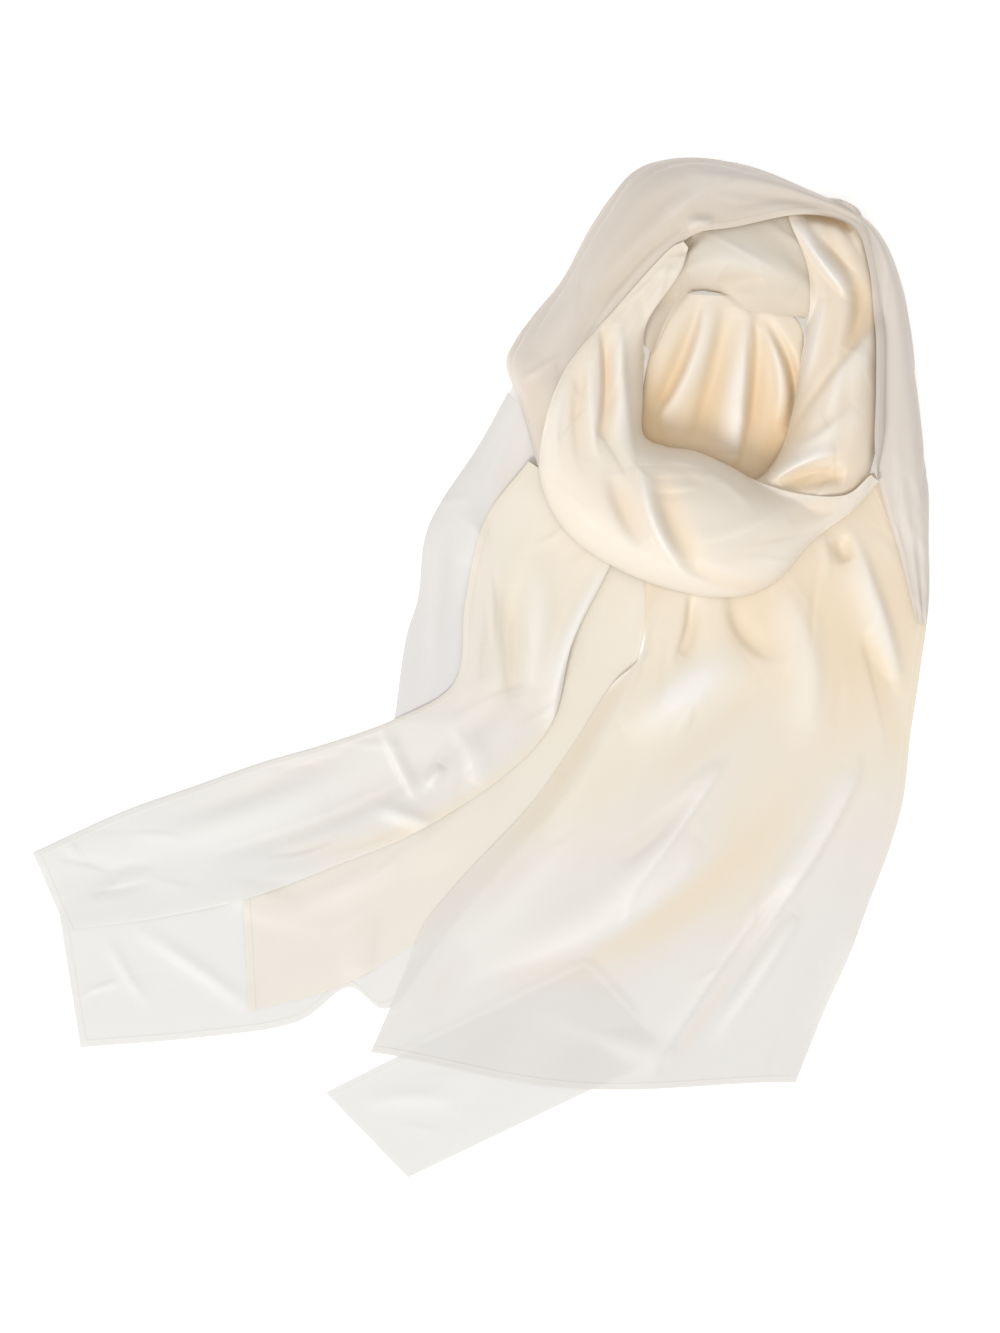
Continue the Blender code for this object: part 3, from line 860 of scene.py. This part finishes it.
def addMesh(piece, points, below, folds, shade, loop=False):
    # A mesh of one grid of points, with the values that its material reads at each point.
    rows, columns, _ = points.shape
    index = np.arange(rows * columns).reshape(rows, columns)
    if loop:
        index = np.concatenate([index, index[:1]])
    quads = np.stack([index[:-1, :-1], index[1:, :-1], index[1:, 1:], index[:-1, 1:]], axis=-1)
    quads = quads.reshape(-1, 4)
    corners = points.reshape(-1, 3)
    first = corners[quads]
    facing = np.cross(first[:, 1] - first[:, 0], first[:, 3] - first[:, 0])
    if facing[:, 2].sum() < 0:
        quads = quads[:, ::-1]
    shift = np.array([cadLow.x, cadLow.y, 0]) - np.array([*planCorner, -sheetRise]) * metresPerMm
    placed = corners * metresPerMm + shift
    mesh = bpy.data.meshes.new(piece["name"])
    mesh.from_pydata(placed.tolist(), [], quads.tolist())
    mesh.shade_smooth()
    # Painted warm shade along the stretch, going from its value at the start to its value at the end.
    warmShadeStart, warmShadeEnd = piece["warmShade"]
    warmShade = warmShadeEnd + (warmShadeStart - warmShadeEnd) * (1 - np.linspace(0, 1, rows)[:, None]) ** warmShadeFade
    tone = warmShade + piece["seeThrough"] * np.clip(below, 0, 2) / 2 + shade
    # The layers below give the real cream of stacked cloth; the warm shade and the shade spots are painted
    # shade in the same cream colour.
    values = {
        "layersAndShade": np.clip(tone, 0, 1),
        # painted warm shade in troughs and where the tone runs past full
        "hollow": np.clip(tone - 1, 0, 1) + piece["hollow"] * np.clip(-folds / foldForFullTone, 0, 1),
        # painted highlight on fold tops and on spots with a negative height
        "ridge": np.clip(folds / foldForFullTone, 0, 1) - np.clip(shade, -1, 0),
    }
    values["hollow"] = np.clip(values["hollow"], 0, 1)
    values["ridge"] = np.clip(values["ridge"], 0, 1)
    stepAcross = np.linalg.norm(np.diff(points, axis=1), axis=2)
    fromA = np.concatenate([np.zeros((rows, 1)), np.cumsum(stepAcross, axis=1)], axis=1)
    stepAlong = np.linalg.norm(np.diff(points, axis=0), axis=2)
    fromStart = np.concatenate([np.zeros((1, columns)), np.cumsum(stepAlong, axis=0)], axis=0)
    farFromEdges = 1000.0
    edge = np.full((rows, columns), farFromEdges)
    gaps = {"a": fromA, "b": fromA[:, -1:] - fromA, "end": fromStart[-1:] - fromStart}
    for side in piece.get("hems", ()):
        edge = np.minimum(edge, gaps[side])
    values["edge"] = edge * metresPerMm
    for key, value in values.items():
        layer = mesh.attributes.new(key, "FLOAT", "POINT")
        layer.data.foreach_set("value", np.ascontiguousarray(value.reshape(-1), dtype=np.float32))
    plan = np.dstack([fromA, fromStart]) * metresPerMm
    loops = quads.reshape(-1)
    uv = mesh.uv_layers.new(name="clothPlan")
    uv.data.foreach_set("uv", plan.reshape(-1, 2)[loops].astype(np.float32).reshape(-1))
    mesh.materials.append(clothMaterial(piece["name"] + "_satin", piece["paintedShading"]))
    made = bpy.data.objects.new(piece["name"], mesh)
    bpy.context.collection.objects.link(made)
    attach(made, "root")
    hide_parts(*piece["nodes"])
    area = float(np.linalg.norm(facing, axis=1).sum()) * metresPerMm ** 2
    print(piece["name"], len(quads) * 2, "triangles,", round(area, 4), "square metres shown")


def laySheet(pile, piece):
    alongSteps, acrossSteps = piece["steps"]
    rows = through(piece["sections"], alongSteps)
    closerAtEdges = 0.45
    across = 0.5 - 0.5 * np.cos(np.linspace(0, math.pi, acrossSteps + 1))
    across = closerAtEdges * across + (1 - closerAtEdges) * np.linspace(0, 1, acrossSteps + 1)
    along = np.linspace(0, 1, alongSteps + 1)
    a, b = rows[:, None, 0:2], rows[:, None, 2:4]
    plan = a + (b - a) * across[None, :, None]
    onward = np.gradient(rows[:, 0:2] + rows[:, 2:4], axis=0)
    onward /= np.linalg.norm(onward, axis=1, keepdims=True)
    bow = rows[:, 7, None] * np.sin(math.pi * across) ** 1.5
    plan = plan + onward[:, None, :] * bow[..., None]
    height = rounded(across[None, :], rows[:, 4, None], rows[:, 5, None], rows[:, 6, None])
    if "wall" in piece:
        # The side that drops to the floor is pleated lengthways, as the stacked turns of the cloth are.
        depth, pitch, seed = piece["wall"]
        random = np.random.default_rng(seed)
        nearEdge = np.clip((across[None, :] - 0.8) / 0.2, 0, 1) ** 0.5
        wander = random.uniform(0.3, 0.5) * np.sin(2 * math.pi * (2.3 * along[:, None] + random.uniform()))
        wander = wander + 0.35 * np.sin(2 * math.pi * (5.1 * along[:, None] + random.uniform()))
        pleat = np.abs(np.sin(math.pi * (height / pitch + wander))) - 0.7
        outward = (b - a) / np.linalg.norm(b - a, axis=2, keepdims=True)
        plan = plan + outward * (depth * nearEdge * pleat)[..., None]
    folds = np.zeros(height.shape)
    for fold in piece["folds"]:
        folds = folds + foldHeight(fold, plan[..., 0], plan[..., 1])
    calm = np.sin(math.pi * across[None, :]) ** 0.5
    small = crumpleHeight(piece, plan)
    folds = folds + (rippleHeight(piece, across[None, :], along[:, None]) + small) * calm
    raised = height + folds
    low = 0.5 * (raised + np.sqrt(raised ** 2 + 1))
    points, below = pile.lay(np.dstack([plan, low]))
    pile.add(points)
    # Painted shade spots: listed places painted with warm shade; a negative height paints a highlight
    # instead.
    shade = np.zeros(height.shape)
    for spot in piece["paintedShadeSpots"]:
        shade = shade + foldHeight(spot, plan[..., 0], plan[..., 1])
    addMesh(piece, points, below, folds, shade)


def layHiddenLayers(pile, piece):
    aroundSteps, overSteps = piece["steps"]
    table = [(math.cos(math.radians(s.angle)) * s.inner, math.sin(math.radians(s.angle)) * s.inner,
              math.cos(math.radians(s.angle)) * s.outer, math.sin(math.radians(s.angle)) * s.outer,
              s.height) for s in piece["ring"]]
    rows = through(table, aroundSteps, closed=True)[:-1]
    innerRadius = np.linalg.norm(rows[:, 0:2], axis=1) + piece["inset"]
    outerRadius = np.linalg.norm(rows[:, 2:4], axis=1)
    outward = rows[:, 2:4] / outerRadius[:, None]
    turn = np.linspace(0, math.pi, overSteps + 1)
    across = 0.5 - 0.5 * np.cos(turn)
    radius = innerRadius[:, None] + (outerRadius - piece["inset"] - innerRadius)[:, None] * across
    plan = np.array(neckCentre) + outward[:, None, :] * radius[..., None]
    height = (rows[:, 4, None] - piece["drop"]) * np.sin(turn) ** 0.8
    layerStep, layerCount = piece["layered"]
    layered = layerStep * np.sin(layerCount * math.pi * across)[None, :] * np.ones((aroundSteps, 1))
    points, below = pile.lay(np.dstack([plan, np.maximum(height + layered * np.sin(turn), 0)]))
    pile.add(points, loop=True)
    noFolds = np.zeros(layered.shape)
    addMesh(piece, points, below, noFolds, noFolds, loop=True)


def buildFloor():
    side = 30.0
    mesh = bpy.data.meshes.new("floor")
    corners = [(-side, -side, 0), (side, -side, 0), (side, side, 0), (-side, side, 0)]
    mesh.from_pydata(corners, [], [(0, 1, 2, 3)])
    material = bpy.data.materials.new("floor_white")
    graph = Graph(material)
    white = graph.node("ShaderNodeBsdfPrincipled", {}, {
        "Base Color": (0.93, 0.93, 0.93, 1), "Roughness": 0.9,
        "Emission Color": (1, 1, 1, 1), "Emission Strength": 0.35,
    }).output("BSDF")
    graph.node("ShaderNodeOutputMaterial", {}, {"Surface": white})
    mesh.materials.append(material)
    floor = bpy.data.objects.new("floor", mesh)
    bpy.context.collection.objects.link(floor)


studio = {
    "skyStrength": 0.66,
    "keyDirection": (0.42, 0.80, -0.75),
    "keyStrength": 1.55,
    "keyAngle": 22,
    "topDirection": (0.1, 0.05, -1),
    "topStrength": 0.45,
    "topAngle": 40,
}


def addSun(name, direction, strength, angle):
    light = bpy.data.lights.new(name, "SUN")
    light.energy = strength
    light.angle = math.radians(angle)
    sun = bpy.data.objects.new(name, light)
    sun.rotation_mode = "QUATERNION"
    sun.rotation_quaternion = Vector(direction).to_track_quat("-Z", "Y")
    bpy.context.collection.objects.link(sun)


def lightStudio():
    world = bpy.data.worlds.new("studio")
    world.use_nodes = True
    background = world.node_tree.nodes["Background"]
    background.inputs["Color"].default_value = (1, 1, 1, 1)
    background.inputs["Strength"].default_value = studio["skyStrength"]
    bpy.context.scene.world = world
    addSun("key", studio["keyDirection"], studio["keyStrength"], studio["keyAngle"])
    addSun("top", studio["topDirection"], studio["topStrength"], studio["topAngle"])
    bpy.context.scene.view_settings.view_transform = "Standard"


def placeCamera():
    # Straight down, with +Y at the top of the view
    distance = 2.5
    viewHeight = 1.0664
    asideX, asideY = 0.0149, 0.0017
    target = ((cadLow.x + cadHigh.x) / 2 + asideX, (cadLow.y + cadHigh.y) / 2 + asideY)
    data = bpy.data.cameras.new("camera")
    data.lens = data.sensor_width * distance / viewHeight
    data.clip_start = 0.05
    data.clip_end = 50
    camera = bpy.data.objects.new("camera", data)
    camera.location = (*target, distance)
    bpy.context.collection.objects.link(camera)
    bpy.context.scene.camera = camera


pile = Pile()
for piece in layOrder:
    if piece is hiddenLayers:
        layHiddenLayers(pile, piece)
    else:
        laySheet(pile, piece)
print("cloth laid")
buildFloor()
lightStudio()
placeCamera()
print("studio ready")
